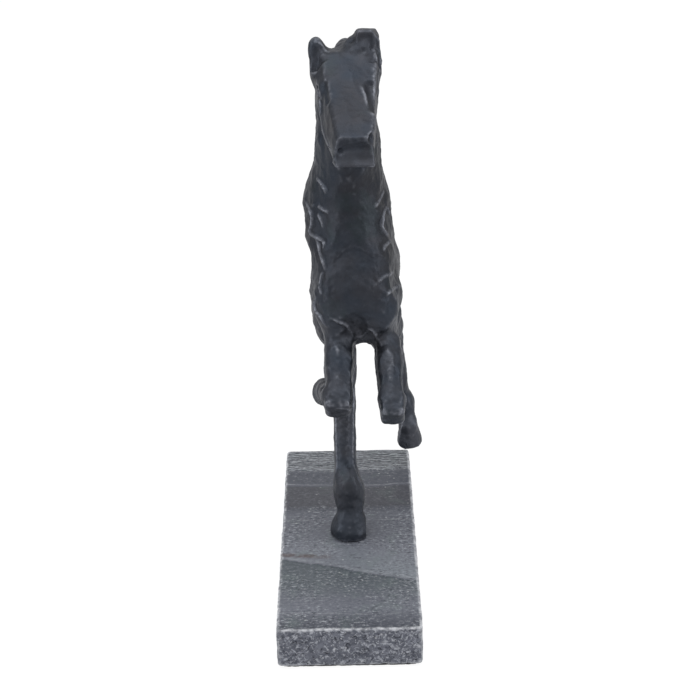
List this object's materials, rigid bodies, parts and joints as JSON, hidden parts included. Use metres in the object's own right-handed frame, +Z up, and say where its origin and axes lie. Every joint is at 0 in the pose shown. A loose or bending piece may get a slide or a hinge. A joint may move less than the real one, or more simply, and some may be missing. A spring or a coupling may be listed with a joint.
{
  "type": "horse statuette",
  "caption": "Rearing horse statuette in dark patinated bronze, standing on one hind leg on a rectangular grey marble block with a felt underside.",
  "frame": {"origin": "centre of the marble block's footprint, on the underside of the felt sheet that the statue rests on", "axes": "+Z up; the horse faces -Y, so its right side is -X and its left side is +X"},
  "size_m": [0.0872, 0.2673, 0.3421],
  "materials": {
    "bronze_body": "dark hand-rubbed patina, chiselled, satin",
    "bronze_head": "dark hand-rubbed patina, chiselled, satin",
    "bronze_legs": "dark hand-rubbed patina, chiselled, satin",
    "bronze_tail": "dark hand-rubbed patina, chiselled, satin",
    "marble": "honed top with banded veins, sawn rough sides",
    "steel": "zinc plated",
    "felt": "pressed felt"
  },
  "bodies": {
    "root": {"marble_base": "marble", "body_casting": "bronze_body", "head_and_neck": "bronze_head", "foreleg_right": "bronze_legs", "foreleg_left": "bronze_legs", "hindleg_right": "bronze_legs", "hindleg_left": "bronze_legs", "tail": "bronze_tail", "mounting_stud": "steel", "plain_washer": "steel", "spring_washer": "steel", "hex_nut": "steel", "locating_pin": "steel", "felt_sheet": "felt"}
  },
  "joints": []
}
